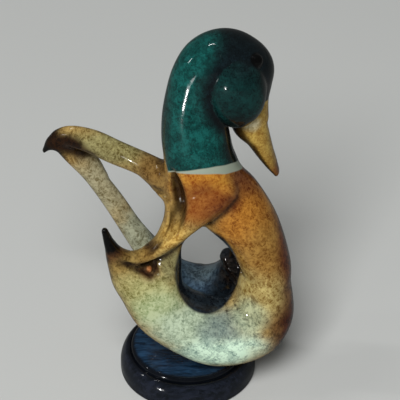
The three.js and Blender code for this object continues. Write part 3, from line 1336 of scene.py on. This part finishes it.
HEAD_SPRAYS = (
    ("051718", "0E2E2D", 0.42, (26, -6, 192), (18, 16, 22), 0.9),
    ("070D0F", "141F22", 0.2, (34, 12, 216), (19, 26, 15), 1.0, 0.4),
    ("070B0C", "131A1B", 0.2, (48, 12, 200), (11, 24, 22), 1.0, 0.35),
    # grey down the back of the neck: painted reflection
    ("142222", "243A38", 0.35, (-14, 6, 170), (6, 20, 34), 0.8),
    # dark under the chin: painted shade
    ("060C0C", "0E1A1A", 0.25, (27, -5, 163), (9, 16, 20), 0.95),
)

BILL_SPRAYS = (
    # pale patch at the bill's root: painted highlight
    ("8A7C4F", "D8D0AE", 0.6, (34, 0, 168), (6, 9, 4), 0.8),
    ("5A2A0A", "844A14", 0.4, (48, 15, 130), (8, 14, 8), 0.9),
)

INNER_SPRAYS = (
    # far side of the ring, seen through its opening
    ("2C3E52", "5E7C96", 0.45, (-4, 16, 56), (18, 16, 16)),
    # lighter grey along the top of the far side: painted light
    ("3A4648", "6A7A7C", 0.45, (6, 18, 58), (10, 12, 8), 0.8),
    ("070504", "28201A", 0.25, (24, 3, 68), (9, 12, 12), 1.0, 0.4),
)

SPRAYS = {Coat.BODY: BODY_SPRAYS, Coat.HEAD: HEAD_SPRAYS, Coat.BILL: BILL_SPRAYS,
          Coat.INNER: INNER_SPRAYS}

PLINTH_COAT = ("0E1218", "1D212C", 0.4)
SEAT_STREAKS = ("0D2032", "23405C", 0.45)
GROOVE_SHADE = "05070B"


@dataclass
class Plinth:
    """A bullnosed disc with a raised seat inside a narrow groove."""

    height: float = PLINTH_TOP
    radius: float = 38.5
    foot_radius: float = 37.4
    side_top: float = 5.4
    shoulder_top: float = 14.6
    groove_radius: float = 32.8
    groove_floor: float = 13.8
    seat_radius: float = 30.4
    edge: float = 1.7
    rounding: float = 1.4
    around: int = 144

    def profile(self) -> list[Row]:
        """Draws the outline to be turned.

        Returns:
            Radius and height of each point, from under the centre to the seat's centre.
        """
        top, side, foot, seat = self.shoulder_top, self.radius, self.foot_radius, self.seat_radius
        groove, shoulder, edge = self.groove_radius, self.groove_radius + self.rounding, self.edge
        points = [(r, 0.0) for r in (0.0, 12.0, 24.0, foot - 1.0)]
        for steps, *handles in (
                (6, (foot, 0.0), (side, 0.0), (side, self.rounding)),
                (3, (side, self.rounding + 0.8), (side, self.side_top)),
                (16, (side, self.side_top + 0.3), (side, top - 3 * edge), (shoulder + edge, top),
                 (shoulder, top)),
                (6, (shoulder - 0.1, top), (groove, top), (groove, self.groove_floor)),
                (8, (groove - 0.1, self.groove_floor), (groove - 0.2, self.height - edge / 2),
                 (seat, self.height - edge / 4)),
                (3, (seat - 0.5, self.height - edge / 6), (seat - 2 * edge, self.height))):
            points += self._curve(handles, steps)
        points += [(r, self.height) for r in np.linspace(seat - 5.0, 3.0, 14)]
        return points + [(0.0, self.height)]

    def _curve(self, handles: list[Row], steps: int) -> list[Row]:
        """Follows a Bezier curve.

        Args:
            handles: radius and height of its handles.
            steps: how many points it gives.

        Returns:
            The points.
        """
        ends = []
        for t in np.linspace(0, 1, steps):
            row = [np.array(h) for h in handles]
            while len(row) > 1:
                row = [a * (1 - t) + b * t for a, b in zip(row, row[1:])]
            ends.append(tuple(row[0].tolist()))
        return ends

    def build(self) -> bpy.types.Object:
        """Turns the plinth and paints it.

        Returns:
            The piece.
        """
        (_, foot), *rings, (_, top) = self.profile()
        angles = np.arange(self.around) * math.tau / self.around
        vertices = [(0.0, 0.0, foot)]
        for radius, height in rings:
            vertices += [(radius * math.cos(a), radius * math.sin(a), height) for a in angles]
        vertices.append((0.0, 0.0, top))
        starts = [1 + i * self.around for i in range(len(rings))]
        faces = []
        for j in range(self.around):
            k = (j + 1) % self.around
            faces.append((0, 1 + k, 1 + j))
            faces += [(a + j, a + k, b + k, b + j) for a, b in zip(starts, starts[1:])]
            faces.append((starts[-1] + j, starts[-1] + k, len(vertices) - 1))
        points = np.array(vertices)
        piece = make_piece("round_plinth", points, faces, PLINTH_GLAZE, CadNode.PLINTH, Slot.PLINTH)
        self.paint(points).store(piece.data, Coat.PLINTH)
        return piece

    def paint(self, points: Array) -> Paint:
        """Brushes the plinth: blue black, with blue streaks on the seat and painted shade in the
        groove.

        Args:
            points: the vertices in mm.

        Returns:
            The colours.
        """
        waver = Drift(11, 8.0).at(points)
        paint = Paint(len(points), *PLINTH_COAT)
        x, y, z = points.T
        paint.lay(ramp(z, self.height - 1.0, 0.8), *SEAT_STREAKS)
        off_groove = np.abs(np.hypot(x, y) - self.groove_radius)
        # painted shade in and beside the groove
        paint.shade(ease((3.6 - off_groove) / 2.4) * (0.8 + 0.1 * waver), GROOVE_SHADE)
        return paint


@dataclass(frozen=True)
class SoftLight:
    """A rectangular light aimed at the duck, in metres and watts."""

    name: str
    place: Row
    size: Row
    power: float
    aim: Row = (0.0, 0.0, 0.12)
    mirrored: bool = True

    def build(self) -> None:
        """Adds the light."""
        lamp = bpy.data.lights.new(self.name, "AREA")
        lamp.shape = "RECTANGLE"
        lamp.size, lamp.size_y = self.size
        lamp.energy = self.power
        holder = put(self.name, lamp)
        holder.location = self.place
        holder.rotation_mode = "QUATERNION"
        way = Vector(self.aim) - Vector(self.place)
        holder.rotation_quaternion = way.to_track_quat("-Z", "Y")
        holder.visible_glossy = self.mirrored


@dataclass
class Studio:
    """Pale floor, soft lights and the camera."""

    floor_size: float = 6.0
    floor_colour: Row = (0.58, 0.59, 0.575, 1.0)
    mirrored_floor: Row = (0.15, 0.155, 0.15, 1.0)
    room_colour: Row = (0.9, 0.93, 0.92, 1.0)
    room_strength: float = 0.1
    camera_place: Row = (0.0069, -1.1361, 0.9748)
    camera_pitch: float = 37.0
    focal_length: float = 234.0
    lights: tuple[SoftLight, ...] = (
        SoftLight("front_left", (-1.67, -1.86, 0.12), (0.09, 0.08), 6.0),
        SoftLight("front_glow", (-1.69, -1.88, 0.16), (0.45, 0.22), 2.6),
        SoftLight("overhead_strip", (-0.7, 0.1, 1.9), (0.03, 0.4), 3.0),
        SoftLight("left_strip", (-1.8, -0.17, 0.9), (0.03, 0.3), 1.3),
        SoftLight("fill", (-0.55, -2.4, 3.0), (1.6, 1.6), 145.0, (0.0, 0.0, 0.1), False),
    )

    def floor(self) -> None:
        """Lays a plain pale floor, dimmer in the glaze like the dark front of a room."""
        half = self.floor_size / 2
        mesh = bpy.data.meshes.new("pale_floor")
        mesh.from_pydata([(-half, -half, 0), (half, -half, 0), (half, half, 0), (-half, half, 0)],
                         [], [(0, 1, 2, 3)])
        desk = NodeDesk.of_new("matt_floor")
        mirrored = desk.add("LightPath").outputs["Is Glossy Ray"]
        shown = desk.mix(mirrored, self.floor_colour, self.mirrored_floor)
        desk.fill(desk.tree.nodes[SHADER], Base_Color=shown, Roughness=0.9)
        mesh.materials.append(bpy.data.materials["matt_floor"])
        plane = put("pale_floor", mesh)

    def room(self) -> None:
        """Lights the room faintly from all sides."""
        world = bpy.data.worlds.new("soft_room")
        world.use_nodes = True
        background = world.node_tree.nodes["Background"]
        background.inputs["Color"].default_value = self.room_colour
        background.inputs["Strength"].default_value = self.room_strength
        bpy.context.scene.world = world

    def camera(self) -> None:
        """Sets the camera at the photograph's angle."""
        lens = bpy.data.cameras.new("camera")
        lens.sensor_width = 36.0
        lens.lens = self.focal_length
        lens.clip_start, lens.clip_end = 0.05, 20.0
        camera = put("camera", lens)
        camera.location = self.camera_place
        camera.rotation_euler = (math.radians(90 - self.camera_pitch), 0.0, 0.0)
        bpy.context.scene.camera = camera

    def build(self) -> None:
        """Sets the whole studio."""
        self.floor()
        for light in self.lights:
            light.build()
        self.room()
        self.camera()
        bpy.context.scene.view_settings.view_transform = "Standard"


def main() -> None:
    """Builds the duck on its plinth, then the studio round it."""
    logging.basicConfig(level=logging.INFO, format="%(name)s: %(message)s")
    Plinth().build()
    Duck().build()
    Studio().build()


if __name__ == "__main__":
    main()
